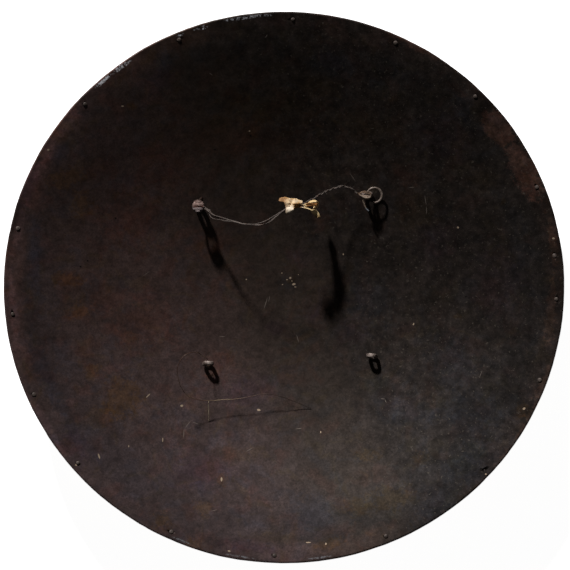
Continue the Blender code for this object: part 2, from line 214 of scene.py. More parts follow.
def cloudy(place, scale, detail=4.0, rough=0.6, turn=0.0):
    """Even, cloudy value from 0 to 1 with lumps of about 1/scale metres."""
    looks = {"Vector": place, "Scale": scale, "Detail": detail, "Roughness": rough, "Distortion": turn}
    return add_node(place.id_data, "TexNoise", looks).outputs["Fac"]


def new_finish(name, roughness, metallic, specular=0.5):
    """A material with its shader and the object's own coordinates, ready for its colour nodes."""
    made = bpy.data.materials.new(name)
    made.use_nodes = True
    shader = made.node_tree.nodes["Principled BSDF"]
    shader.inputs["Roughness"].default_value = roughness
    shader.inputs["Metallic"].default_value = metallic
    shader.inputs["Specular IOR Level"].default_value = specular
    return made, shader, add_node(made.node_tree, "TexCoord").outputs["Object"]


def along_axes(place):
    return add_node(place.id_data, "SeparateXYZ", {0: place}).outputs


def coat(shader, shade, height, strength, distance):
    """Gives a shader its colour, and fine relief from a cloudy height."""
    shader.id_data.links.new(shade, shader.inputs["Base Color"])
    sockets = {"Height": height, "Strength": strength, "Distance": distance}
    relief = add_node(shader.id_data, "Bump", sockets).outputs["Normal"]
    shader.id_data.links.new(relief, shader.inputs["Normal"])


def finish(name, surface, relief, shade, *layers):
    """A material of one colour with others laid over it. Each has the letter of an axis or the settings of
    a cloud, where it begins to show and where it covers, and its colour. The relief has the settings of
    its cloud, its strength and its depth."""
    made, shader, place = new_finish(name, *surface)
    for source, low, high, colour in layers:
        value = cloudy(place, *source) if isinstance(source, tuple) else along_axes(place)[source]
        shade = blended(spread(value, low, high), shade, colour)
    bumps, strength, depth = relief
    coat(shader, shade, cloudy(place, *bumps), strength, depth)
    return made


centre_line = smooth_route(SUSPENSION_ROUTE, WIRE_STEP)


def twisted(line, phase, lean, start, end=None, pitch=TWIST_PITCH, crossing=None):
    """Points of one strand that winds round part of a line, its distance wandering a little. Where a
    crossing is given, the strand is drawn in there and opens out on both sides. It is drawn in again
    some steps before its end."""
    end = len(line) - 1 if end is None else end
    out = []
    for i in range(start, end + 1):
        along = (line[min(i + 1, len(line) - 1)] - line[max(i - 1, 0)]).normalized()
        side = along.cross(Vector((0, 0, 1))).normalized()
        up = side.cross(along)
        walked = i * WIRE_STEP
        angle = phase + math.tau * walked / pitch + 0.9 * math.sin(walked * 90 + phase)
        reach = lean * (1 + 0.12 * math.sin(walked * 260 + 2 * phase))
        if crossing:
            opened = min((i - crossing) / (end - REJOINING - crossing), 1)
            reach *= 0.3 + 0.7 * math.sin(math.pi * opened) ** 2
        out.append(line[i] + (side * math.cos(angle) + up * math.sin(angle)) * reach)
    return out


def step_near(x, y, z):
    """Number of the centre line's point that lies nearest to a place."""
    return min(range(len(centre_line) - 1), key=lambda i: (centre_line[i] - Vector((x, y, z))).length)


tape_at = step_near(0.006, 0.0699, 0.067)
barb_at = step_near(0.036, 0.0825, 0.047)
knee_at = step_near(-0.0415, 0.056, 0.066)
loose_ends = (
    (0.8, (
        (-644, 674, 456), (-636, 657, 464), (-624, 640, 478), (-609, 624, 496), (-590, 612, 514),
        (-565, 603, 532),
    )),
    (0.7, (
        (-668, 668, 434), (-648, 640, 458), (-630, 608, 486), (-600, 590, 520), (-562, 584, 552),
        (-530, 580, 580), (-500, 579, 608),
    )),
    (0.9, (
        (-652, 676, 442), (-634, 652, 474), (-602, 622, 518), (-560, 602, 552),
    )),
)
barb_strand = twisted(centre_line, 2.0, 0.00050, barb_at - 9, barb_at)
barb_end = barb_strand[-1]
barb_strand.extend(barb_end + Vector((0.0004, -0.0005, -0.0002)) * i for i in range(1, 4))
strands = [
    (STRAND, twisted(centre_line, 0.4, 0.00165, 0, tape_at + 4, LOOSE_PITCH, knee_at)),
    (STRAND * 0.9, twisted(centre_line, 3.7, 0.00165, 0, tape_at + 4, LOOSE_PITCH, knee_at)),
    (STRAND * 0.9, twisted(centre_line, 1.9, 0.00120, 2, tape_at, 0.55 * LOOSE_PITCH, knee_at)),
    (STRAND, twisted(centre_line, 0.0, 0.00052, tape_at - 6)),
    (STRAND, twisted(centre_line, math.pi, 0.00056, tape_at - 6)),
    (STRAND * 0.9, barb_strand),
    *((STRAND * share, smooth_route(metres(route), WIRE_STEP)) for share, route in loose_ends),
]
suspension_wire = add_strands("suspension_wire_strands", strands)
weathered = finish(
    "weathered_wire", (0.66, 0.3), ((1500, 3), 0.5, 0.0001), (0.052, 0.039, 0.033),
    ((260,), 0.35, 0.65, (0.122, 0.097, 0.084)), ((900, 2), 0.52, 0.68, (0.10, 0.056, 0.038)),
)
suspension_wire.data.materials.append(weathered)


# Winding on the left ring. The wire's end is lapped many times round the top of the ring, crosswise,
# into a lump with a cleft where the ring shows between the turns. The cleft is painted dark rusty red,
# as rust and as painted shade deep between the laps.
LAPS = 14
LAP_POINTS = 28
WOUND_LENGTH = 0.0106
CLEFT = 0.44
RING_RADIUS = 0.00645
RING_WIRE = 0.0021
RING_LAPS = 11
RING_LAP_POINTS = 14
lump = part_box("wire_winding_left")
wound_at = (Vector(lump[0]) + Vector(lump[1])) / 2 + Vector((0.0007, -0.0021, 0.0004))
lapped = []
for i in range(LAPS * LAP_POINTS + 1):
    turn = i / LAP_POINTS
    share = turn / LAPS
    swell = math.sin(math.pi * (0.04 + 0.93 * share) ** 0.88) ** 0.72
    sway = 0.00022 * math.sin(turn * 2.3)
    angle = math.tau * turn
    beyond = share - CLEFT
    parting = math.copysign(0.0007 * math.exp(-abs(beyond) / 0.12), beyond) * max(0, math.sin(angle)) ** 0.7
    lapped.append(
        wound_at
        + Vector((
            (0.0050 * swell + sway) * math.cos(angle),
            WOUND_LENGTH * (share - 0.5) + 0.0002 * math.sin(angle + turn) + parting,
            (0.0033 * max(swell**0.7, 0.85) + sway) * math.sin(angle),
        ))
    )
bow = (-1, -0.5, 0, 0.5, 1)
core = [wound_at + Vector((0.0036 * t, -0.0006, 0.0013 - 0.0009 * t * t)) for t in bow]
upper_core = [wound_at + Vector((0.0030 * t, 0.0019, 0.0015 - 0.0012 * t * t)) for t in bow]
lead = [lapped[LAP_POINTS * 6].lerp(Vector(SUSPENSION_ROUTE[0]), i / 6) for i in range(7)]
ring_low, ring_high = (Vector(corner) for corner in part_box("ring_left"))
ring_hub = (ring_low + ring_high) / 2
ring_size = ring_high - ring_low
ring_side = Vector((ring_size.x - RING_WIRE, ring_size.y - RING_WIRE, 0)).normalized()
ring_up = Vector((0, 0, 1))
ring_across = ring_side.cross(ring_up)
ring_laps = []
for i in range(RING_LAPS * RING_LAP_POINTS + 1):
    walk = i / (RING_LAPS * RING_LAP_POINTS)
    around = math.tau * i / RING_LAP_POINTS
    lean = math.radians(-62 + 54 * walk)
    out = ring_side * math.sin(lean) + ring_up * math.cos(lean)
    reach = RING_RADIUS + 0.0015 * math.cos(around) * (1 + 0.1 * math.sin(7 * walk))
    ring_laps.append(ring_hub + out * reach + ring_across * 0.0015 * math.sin(around))
winding_left = add_strands("ring_winding_left", [
    (STRAND * 1.25, lapped), (0.0044, core), (0.0040, upper_core),
    (STRAND * 1.3, lead), (STRAND * 1.1, ring_laps),
])
rubbed_wire, shader, place = new_finish("rubbed_wire", 0.7, 0.3)
axes = along_axes(place)
shade = blended(spread(cloudy(place, 320, 4), 0.36, 0.64), (0.15, 0.088, 0.072), (0.29, 0.20, 0.175))
cleft_y = wound_at.y + WOUND_LENGTH * (CLEFT - 0.5)
shade = blended(spread(axes["Y"], cleft_y + 0.0002, cleft_y - 0.0008), shade, (0.21, 0.165, 0.16))
shade = blended(spread(axes["Y"], cleft_y + 0.0046, cleft_y + 0.0058), shade, (0.045, 0.024, 0.016))
from_cleft = worked("ABSOLUTE", worked("SUBTRACT", axes["Y"], cleft_y))
# Painted shade and rust: the cleft between the laps is darkened to a dark rusty red.
cleft_rust_and_shade = product(spread(from_cleft, 0.0010, 0.0005), worked("COMPARE", axes["X"], wound_at.x, 0.0043))
shade = blended(cleft_rust_and_shade, shade, (0.090, 0.034, 0.022))
coat(shader, shade, cloudy(place, 1500, 3), 0.5, 0.0001)
winding_left.data.materials.append(rubbed_wire)


# Winding on the right eye. The other end goes round the eye's top bar and the ring in three loose
# turns, comes out underneath and is left sticking down as a stiff tail.
WINDING_STEP = 0.0006
TURNS_ON_EYE = metres((
    (635, 820, 356), (652, 812, 352), (668, 824, 350), (692, 832, 350), (722, 830, 350), (748, 820, 348),
    (757, 804, 346), (740, 796, 347), (705, 795, 349), (680, 796, 350), (662, 804, 348), (666, 816, 352),
    (690, 823, 354), (716, 818, 356), (752, 806, 354), (750, 792, 354), (725, 784, 355), (700, 785, 355),
    (678, 789, 350),
))
TAIL_ROUTE = metres((
    (652, 806, 352), (672, 794, 358), (700, 778, 362), (730, 777, 361), (752, 784, 354), (742, 772, 346),
    (712, 768, 346), (690, 770, 342), (687, 755, 336), (694, 732, 328), (703, 708, 322), (711, 692, 318),
    (722, 676, 314), (735, 665, 310),
))
winding_right = add_strands("ring_winding_right", [
    (STRAND * 1.35, smooth_route(TURNS_ON_EYE, WINDING_STEP)),
    (STRAND * 1.4, smooth_route(TAIL_ROUTE, WINDING_STEP)),
])
cream_wire = finish(
    "cream_wire", (0.66, 0.3), ((1500, 3), 0.5, 0.0001), (0.17, 0.125, 0.092),
    ((260,), 0.35, 0.65, (0.36, 0.28, 0.215)), ("Y", 0.0804, 0.0813, (0.115, 0.072, 0.044)),
    ((900, 2), 0.52, 0.68, (0.16, 0.075, 0.035)), ("Y", 0.0698, 0.0684, (0.20, 0.21, 0.23)),
)
winding_right.data.materials.append(cream_wire)


# Tape scrap. A strip of cream cloth tape knotted once round the wire: a short end stands out to the
# left, a lobe folds forward, and the long end hangs in a narrow loop with a frayed tail.
TAPE_THICKNESS = 0.0004
TAPE_STEP = 0.0009
TAPE_COLUMNS = 6


def add_ribbon(name, strips):
    """Strips of tape in one mesh. A strip has stations of x, y, z, the direction of its width, and its
    width. Lengths are in tenths of a millimetre."""
    whole = bmesh.new()
    for strip in strips:
        line = smooth_route(metres(station[:3] for station in strip), TAPE_STEP)
        count = len(line) - 1
        sheet = bmesh.new()
        bmesh.ops.create_grid(sheet, x_segments=count, y_segments=TAPE_COLUMNS, size=1)
        for v in sheet.verts:
            row = round((v.co.x + 1) / 2 * count)
            share = row / count * (len(strip) - 1)
            at = min(int(share), len(strip) - 2)
            share -= at
            share = share * share * (3 - 2 * share)
            way, next_way = (Vector(station[3:6]).normalized() for station in strip[at:at + 2])
            way = way.lerp(next_way, share).normalized()
            half = (strip[at][6] * (1 - share) + strip[at + 1][6] * share) / 20000
            place = line[row] + way * half * v.co.y
            along = (line[min(row + 1, count)] - line[max(row - 1, 0)]).normalized()
            face = along.cross(way).normalized()
            crumple = 0.00045 * noise.noise(place * 300) + 0.00014 * noise.noise(place * 1100)
            v.co = place + face * crumple + way * 0.0003 * noise.noise(place * 700 + Vector((3, 1, 2)))
        bmesh.ops.recalc_face_normals(sheet, faces=sheet.faces)
        bmesh.ops.solidify(sheet, geom=sheet.faces[:], thickness=TAPE_THICKNESS)
        part = mesh_of(name, sheet)
        whole.from_mesh(part)
        bpy.data.meshes.remove(part)
    mesh = mesh_of(name, whole)
    mesh.shade_smooth()
    return placed(name, mesh)


short_end = [
    (-42, 755, 689, 9, 20, -2, 24), (-26, 753, 697, 4, 10, -3, 42), (-4, 752, 695, 3, 10, 3, 54),
    (18, 746, 707, 1, 10, -3, 54), (46, 738, 715, 0, 10, 1, 52), (76, 736, 709, 0, 5, -2, 52),
    (106, 735, 727, 1, 20, 2, 46), (134, 732, 725, 1, 10, -5, 34), (158, 728, 729, 1, 10, 1, 22),
]
front_lobe = [
    (66, 736, 679, 20, 3, 0, 70), (62, 714, 703, 20, 4, -3, 80), (57, 692, 717, 20, 5, 4, 82),
    (52, 672, 726, 20, 6, -5, 82), (48, 652, 729, 20, 7, 2, 72), (44, 637, 717, 20, 7, 0, 46),
    (47, 640, 693, 20, 7, 0, 46), (58, 660, 679, 10, 3, 0, 56), (68, 684, 675, 10, 3, 0, 56),
]
side_fold = [
    (14, 748, 711, 8, -5, 2, 32), (24, 722, 717, 3, -1, -1, 44), (30, 698, 717, 19, -2, 2, 42),
    (30, 676, 711, 10, 1, 0, 30),
]
wrap = []
axis_at = Vector((74, 704, 678))
axis = Vector((66, 16, -26)).normalized()
side = axis.cross(Vector((0, 0, 1))).normalized()
lift = side.cross(axis)
for i in range(13):
    angle = math.tau * i / 9 + 2.2
    reach = 29 + 3.5 * math.sin(2.7 * angle)
    at = axis_at + (side * math.cos(angle) + lift * math.sin(angle)) * reach + axis * (3.5 * i - 16)
    wrap.append((*at, *(axis + side * 0.15 * math.sin(angle)), 70))
long_loop = [
    (124, 696, 626, 84, 12, 53, 50), (154, 707, 602, 84, 12, 53, 70), (186, 719, 556, 84, 12, 53, 72),
    (220, 733, 492, 84, 10, 53, 70), (249, 744, 426, 84, 4, 53, 64), (270, 752, 380, 32, -5, 38, 70),
    (288, 749, 350, 21, -10, 44, 76), (292, 730, 336, 34, -14, 93, 78), (284, 708, 334, 34, -14, 93, 74),
    (268, 688, 350, 17, -10, 46, 56), (254, 672, 380, 17, -15, 45, 36),
]
inner_fold = [
    (160, 698, 630, 14, -11, 9, 22), (196, 706, 604, 22, -20, 15, 30), (228, 710, 564, 62, -64, 45, 38),
    (254, 712, 526, 20, -22, 15, 40), (272, 716, 496, 20, -22, 15, 32), (282, 726, 476, 20, -22, 15, 18),
]
long_tail = [
    (126, 693, 666, 695, -593, 400, 32), (150, 688, 664, 695, -593, 400, 34),
    (182, 680, 644, 695, -593, 400, 34), (214, 672, 608, 695, -593, 400, 32),
    (244, 663, 562, 33, -30, 22, 34), (264, 651, 536, 41, 5, 5, 40), (278, 635, 528, 86, 45, -14, 50),
    (290, 618, 524, 88, 45, -5, 46), (302, 600, 522, 92, 35, -14, 28),
]
# Two more layers lie hidden under the knot and give it its thickness.
under_fold = [
    (-10, 738, 666, 0, 3, 20, 50), (40, 728, 654, 0, 3, 20, 80), (90, 724, 648, 0, 3, 20, 84),
    (140, 728, 656, 0, 3, 20, 54),
]
hanging_fold = [
    (60, 726, 646, 6, 1, 19, 60), (100, 724, 644, 20, 5, 97, 90), (134, 722, 642, 10, 5, 98, 100),
    (160, 718, 638, 10, 5, 98, 80),
]
tape = add_ribbon(
    "tape_scrap_strip",
    [short_end, front_lobe, side_fold, wrap, long_loop, inner_fold, long_tail, under_fold, hanging_fold],
)
tape_cloth, shader, place = new_finish("cream_tape", 0.85, 0.0, 0.2)
axes = along_axes(place)
stains = cloudy(place, 220, 3, 0.55, 0.8)
shade = blended(spread(stains, 0.36, 0.60), (0.56, 0.31, 0.11), (0.86, 0.66, 0.43))
shade = blended(spread(axes["Y"], 0.0712, 0.0682), shade, (0.82, 0.69, 0.53))
shade = blended(spread(axes["X"], 0.0160, 0.0185), shade, (0.80, 0.58, 0.30))
# Painted shade: the short end on the left is darkened to orange-brown.
shade = blended(spread(axes["X"], 0.0042, -0.0008), shade, (0.34, 0.18, 0.08))
# Painted shade: the creases in the knot's body are darkened to orange-brown.
crease_shade = product(spread(axes["X"], 0.0072, 0.0092), spread(axes["Y"], 0.0728, 0.0714))
shade = blended(product(crease_shade, spread(axes["X"], 0.0160, 0.0140)), shade, (0.42, 0.20, 0.06))
# Painted shade: the inside of the hanging loop is darkened to dark orange-brown.
shaded = product(worked("COMPARE", axes["Y"], 0.0712, 0.0019), spread(axes["X"], 0.0185, 0.0200))
shade = blended(product(shaded, spread(axes["Z"], 0.045, 0.047)), shade, (0.19, 0.078, 0.020))
shade = blended(spread(axes["Y"], 0.0655, 0.0610), shade, (0.25, 0.16, 0.068))
shade = blended(spread(cloudy(place, 480, 3, 0.6, 1.0), 0.57, 0.69), shade, (0.30, 0.14, 0.04))
threads = {"Vector": place, "Scale": 900.0, "Distortion": 2.0, "Detail": 1.0}
weave = add_node(tape_cloth.node_tree, "TexWave", threads).outputs["Fac"]
coat(shader, shade, weave, 0.35, 0.0002)
tape.data.materials.append(tape_cloth)

tied_on = ((winding_left, "wire_winding_left"), (winding_right, "wire_winding_right"), (tape, "tape_scrap"))
for piece, node in tied_on:
    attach(piece, "root")
    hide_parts(node)

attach(suspension_wire, "root")
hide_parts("suspension_wire")


# Fine wire remnant. A thin springy wire caught in the lower left eye; it rises in a wide hook, comes
# down and ends against the plate. A short second end sticks out of its kink.
FINE_ROUTE = metres((
    (-660, -700, 230), (-660, -665, 235), (-660, -640, 245), (-670, -620, 275), (-685, -605, 325),
    (-700, -595, 385), (-725, -575, 450), (-755, -560, 525), (-810, -560, 590), (-860, -590, 610),
    (-895, -640, 610), (-915, -710, 595), (-910, -780, 570), (-890, -850, 535), (-850, -915, 490),
    (-800, -950, 445), (-740, -975, 400), (-645, -980, 360), (-515, -975, 330), (-385, -965, 315),
    (-280, -945, 310), (-185, -925, 305), (-80, -935, 290), (25, -965, 265), (130, -1010, 230),
    (235, -1055, 205),
))
FINE_STEP = 0.001
FINE_STUB_ROUTE = metres((
    (-655, -990, 350), (-655, -1020, 345), (-655, -1055, 330), (-655, -1090, 315), (-655, -1125, 295),
    (-655, -1165, 275),
))


def kinked(line, reach):
    """The line with small bends in it, as a wire has that has been wound and pulled straight."""
    wander = noise.noise_vector
    return [p + Vector(wander(p * 170)) * reach + Vector(wander(p * 60)) * reach for p in line]


fine_line = smooth_route(FINE_ROUTE, FINE_STEP)
stub_line = smooth_route(FINE_STUB_ROUTE, FINE_STEP)
fine_wire = add_strands("fine_wire_strand", [(0.0005, kinked(fine_line, 0.0003))])
fine_stub = add_strands("fine_wire_end", [(0.0006, kinked(stub_line, 0.0002))])
fine_finish = finish(
    "straw_wire", (0.5, 0.2), ((1800, 2), 0.4, 0.0001), (0.075, 0.034, 0.018),
    ((60, 2), 0.42, 0.6, (0.30, 0.21, 0.13)), ("X", -0.030, -0.012, (0.035, 0.020, 0.013)),
)
fine_wire.data.materials.append(fine_finish)
stub_finish, shader, place = new_finish("bright_wire", 0.45, 0.2)
shade = blended(spread(cloudy(place, 500, 2), 0.4, 0.6), (0.55, 0.42, 0.28), (0.75, 0.62, 0.45))
stub_finish.node_tree.links.new(shade, shader.inputs["Base Color"])
fine_stub.data.materials.append(stub_finish)
for piece, node in ((fine_wire, "fine_wire"), (fine_stub, "fine_wire_stub")):
    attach(piece, "root")
    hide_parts(node)


# Bowl. One plate of iron raised by hammering, its edge rolled over into a thin bead. The inside keeps
# a dark brown patina with rust and old scratches; its colour is much lighter and redder on the left and
# darker and bluer on the right.
bowl_low, bowl_high = (Vector(corner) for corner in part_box("shield_bowl"))
BOWL_RADIUS = (bowl_high.x + bowl_high.y) / 2
STRETCH = Vector((bowl_high.x / BOWL_RADIUS, bowl_high.y / BOWL_RADIUS, 1))
PLATE = 0.0015
BEAD_RADIUS = 0.0016
LIP_RADIUS = 0.0012
LIP_START = 113
LIP_END = -140
BEAD_POINTS = 15
EDGE_RADIUS = BOWL_RADIUS - BEAD_RADIUS
INSIDE_FLOOR = bowl_low.z + PLATE
DOME = 0.4498
BORDER_START = 0.150
BORDER_EASE = 0.27
BORDER_WIDTH = EDGE_RADIUS - BORDER_START
BORDER_SLOPE = BORDER_START / math.sqrt(DOME**2 - BORDER_START**2)
BORDER_STEEPENING = DOME**2 / math.sqrt(DOME**2 - BORDER_START**2) ** 3


def inside_slope(r):
    """Rise over run of the plate's inside, at a distance from the middle."""
    if r <= BORDER_START:
        return r / math.sqrt(DOME**2 - r**2)
    beyond = r - BORDER_START
    return BORDER_SLOPE + BORDER_STEEPENING * beyond - BORDER_EASE * (beyond / BORDER_WIDTH) ** 2


def inside_height(r):
    """Height of the plate's inside over the floor, at a distance from the middle."""
    near = min(r, BORDER_START)
    beyond = r - near
    curve = BORDER_STEEPENING * beyond**2 / 2 - BORDER_EASE * beyond**3 / (3 * BORDER_WIDTH**2)
    return INSIDE_FLOOR + DOME - math.sqrt(DOME**2 - near**2) + BORDER_SLOPE * beyond + curve


def spun(profile, steps):
    """A closed shell turned about Z from (radius, height) points, in a new bmesh."""
    bm = bmesh.new()
    points = [bm.verts.new((r, 0, z)) for r, z in profile]
    edges = [bm.edges.new(pair) for pair in zip(points, points[1:])]
    if profile[0][0] > 0:
        edges.append(bm.edges.new((points[-1], points[0])))
    bmesh.ops.spin(
        bm, geom=points + edges, axis=(0, 0, 1), cent=(0, 0, 0), angle=math.tau, steps=steps, use_merge=True
    )
    bmesh.ops.remove_doubles(bm, verts=bm.verts, dist=1e-6)
    bmesh.ops.recalc_face_normals(bm, faces=bm.faces)
    return bm


def add_piece(name, bm, finish, sharp=None):
    mesh = mesh_of(name, bm)
    mesh.shade_smooth()
    if sharp:
        mesh.set_sharp_from_angle(angle=math.radians(sharp))
    mesh.materials.append(finish)
    return placed(name, mesh)


def merged(piece, other, kind):
    """A new mesh of a piece with another one joined to it or cut out of it. The other one is removed."""
    step = piece.modifiers.new(kind, "BOOLEAN")
    step.operation = kind
    step.object = other
    step.solver = "EXACT"
    mesh = worked_out(piece)
    piece.modifiers.clear()
    bpy.data.objects.remove(other)
    return mesh


def seat(x, y, turn=0.0):
    """Frame on the inside of the plate at plan place x, y, its Z standing off the plate into the hollow."""
    across = Vector((x / STRETCH.x, y / STRETCH.y))
    slope, height = inside_slope(across.length), inside_height(across.length)
    out = across.normalized()
    normal = Vector((-slope * out.x / STRETCH.x, -slope * out.y / STRETCH.y, 1)).normalized()
    side = Vector((1, 0, 0))
    side = (side - normal * side.dot(normal)).normalized()
    axes = Matrix((side, normal.cross(side), normal)).transposed().to_4x4()
    return Matrix.Translation((x, y, height)) @ axes @ Matrix.Rotation(math.radians(turn), 4, "Z")


def hammered(place):
    """How far the raised plate stands off a true dome at this place, from the hammer and from old knocks."""
    flat = Vector((place.x, place.y, 0))
    broad = noise.noise(flat * 9) * 0.0007
    blows = noise.noise(flat * 38 + Vector((5, 2, 0))) * 0.00016
    small = noise.noise(flat * 95 + Vector((1, 9, 4))) * 0.00005
    return broad + blows + small


RINGS_INSIDE = 130
BOWL_STEPS = 330
STIFF_BORDER = 0.012
RAGGED_BORDER = 0.003
lip_r = BOWL_RADIUS - LIP_RADIUS
plate_end = lip_r + LIP_RADIUS * math.cos(math.radians(LIP_START))
lip_z = inside_height(plate_end) - LIP_RADIUS * math.sin(math.radians(LIP_START))
reaches = [(plate_end - 0.0008) * i / RINGS_INSIDE for i in range(RINGS_INSIDE + 1)]
inside = [(r, inside_height(r)) for r in reaches]
outside = []
for r in reaches[:-1:2]:
    tilt = math.atan(inside_slope(r))
    outside.append((r + PLATE * math.sin(tilt), inside_height(r) - PLATE * math.cos(tilt)))
bead = []
for i in range(BEAD_POINTS):
    a = math.radians(LIP_START + (LIP_END - LIP_START) * i / (BEAD_POINTS - 1))
    bead.append((lip_r + LIP_RADIUS * math.cos(a), lip_z + LIP_RADIUS * math.sin(a)))
bm = spun(inside + bead + outside[::-1], BOWL_STEPS)
for v in bm.verts:
    reach = math.hypot(v.co.x, v.co.y)
    toward = Vector((0, 0, 1))
    if reach > 0.001:
        toward = Vector((-v.co.x / reach, -v.co.y / reach, 1 / inside_slope(reach))).normalized()
    edge_share = min(max(0.0, 1 - (EDGE_RADIUS - reach) / STIFF_BORDER), 1)
    v.co += toward * hammered(v.co) * (1 - 0.75 * edge_share)
    if reach > EDGE_RADIUS - RAGGED_BORDER:
        turn = math.atan2(v.co.y, v.co.x)
        ring_place = Vector((math.cos(turn), math.sin(turn), 0))
        wobble = 0.00035 * noise.noise(ring_place * 7) + 0.0002 * noise.noise(ring_place * 45)
        v.co.x += ring_place.x * wobble
        v.co.y += ring_place.y * wobble
        v.co.z += 0.0003 * noise.noise(ring_place * 5 + Vector((0, 0, 3)))
    v.co.x *= STRETCH.x
    v.co.y *= STRETCH.y

RIVET_ANGLES = (
    6.8, 21.9, 45.4, 65.8, 88.1, 112.6, 136.9, 167.3, 185.7, 203.5, 220.9, 245.6, 268.0, 292.0, 339.8, 357.5,
)
BLOCKED_RIVET_HOLE = 317.3
BLOCKED_RISE = 0.0031
RIVET_HOLE_RADIUS = 0.0014
RIVET_REACH = BOWL_RADIUS - 0.0065


def rivet_seat(angle):
    turn = math.radians(angle)
    return seat(RIVET_REACH * STRETCH.x * math.cos(turn), RIVET_REACH * STRETCH.y * math.sin(turn))


def scaled(colour, gain):
    sockets = {0: colour, "Scale": gain}
    return add_node(colour.id_data, "VectorMath", sockets, operation="SCALE").outputs[0]


def length_from(place):
    return add_node(place.id_data, "VectorMath", {0: place}, operation="LENGTH").outputs["Value"]


def toned(colour, value, depth):
    """The colour made darker or lighter by a cloudy value, which changes nothing at 0.5."""
    ends = {0: value, 1: 0.25, 2: 0.75, 3: 1 - depth / 2, 4: 1 + depth / 2}
    return scaled(colour, add_node(value.id_data, "MapRange", ends).outputs[0])


def tinted(colour, share, tint):
    """The colour multiplied by a tint where share is 1."""
    return blended(share, colour, tint, "MULTIPLY")


def oval(place, x, y, long, wide, turn=0.0):
    """0 in the middle of an oval patch and 1 at its edge. Its place and half sizes are in millimetres."""
    sockets = {
        "Vector": place, "Location": (x / 1000, y / 1000, 0), "Rotation": (0, 0, math.radians(turn)),
        "Scale": (long / 1000, wide / 1000, 1),
    }
    own = add_node(place.id_data, "Mapping", sockets, vector_type="TEXTURE").outputs["Vector"]
    return length_from(own)


def patches(place, ovals, edge, ragged, soft):
    """Share of all the ovals together, with edges broken up by a cloudy value."""
    reaches = [oval(place, *each) for each in ovals]
    nearest = reaches[0]
    for reach in reaches[1:]:
        nearest = worked("MINIMUM", nearest, reach)
    return spread(sums(edge, -ragged, nearest), 1 - ragged / 2, 1 - ragged / 2 - soft)


# Marks on the inside, as ovals: x, y, half length and half breadth in millimetres, and a turn in degrees
# where there is one. The lighter and darker patches have how much lighter or darker first, in percent;
# they are partly the patina's own tone and partly painted light and painted shade, among them painted
# shadows near the right ring and under the fine wire. The worn patches round the rim have the angle round
# the rim and the half reach in degrees, and the half breadth in millimetres; they are bare metal with a
# painted highlight.
OCHRE_RUST = (
    (-188, 8, 17, 7), (-177, -21, 13, 7, 10), (-139, -96, 19, 22), (-166, -72, 9, 8), (-175, 72, 12, 13),
    (-187, 94, 22, 10, 20), (-54, -167, 7, 7), (-69, -190, 9, 7), (-104, -199, 10, 9), (-78, -220, 9, 7),
    (64, -189, 15, 9), (92, -182, 27, 12, 10), (119, -148, 9, 7), (72, -145, 14, 6), (39, -220, 17, 6, 10),
    (204, -105, 9, 7, 60), (151, -25, 7, 3), (190, 74, 5, 3), (7, 6, 5, 5), (-131, 156, 6, 4, 20),
)
RED_BROWN = (
    (-37, 129, 76, 22), (-101, 104, 34, 30), (-122, -32, 36, 27), (-133, 59, 32, 30), (33, 59, 17, 12),
    (-152, -11, 24, 16), (-57, -68, 22, 18), (105, 97, 20, 12), (44, -209, 26, 7, 12), (-60, 40, 26, 18),
)
BLUE_GREY = (
    (77, -12, 26, 25), (147, -68, 28, 30), (162, -108, 26, 30), (160, -150, 17, 28, -40),
    (132, -186, 32, 13, 35), (26, -196, 24, 22), (106, -108, 34, 17), (153, 155, 14, 15, -40),
    (-101, 196, 12, 9, 25), (39, 193, 27, 14), (80, 174, 9, 7), (-205, -75, 9, 40, 24), (-214, 25, 7, 40),
    (-190, 118, 8, 18, -32), (4, 3, 12, 9),
)
OLIVE_BROWN = (
    (-5, 157, 58, 20), (72, 139, 36, 17, -10), (112, 66, 24, 22), (173, 93, 18, 15), (-12, -216, 34, 7),
    (-50, -145, 24, 11), (30, 172, 24, 14), (-160, -112, 16, 12, 30),
)
VIOLET_GREY = (
    (134, 130, 28, 26), (186, 3, 30, 42), (134, 40, 22, 28), (-70, -158, 34, 22, 10),
    (-178, -136, 22, 12, -45), (-219, 88, 8, 26, -18), (-31, -221, 34, 8, -5), (-107, 180, 18, 12, 30),
    (60, -40, 18, 14), (-30, -90, 30, 18), (-8, -35, 12, 9), (12, 27, 15, 9), (24, -22, 12, 10),
)
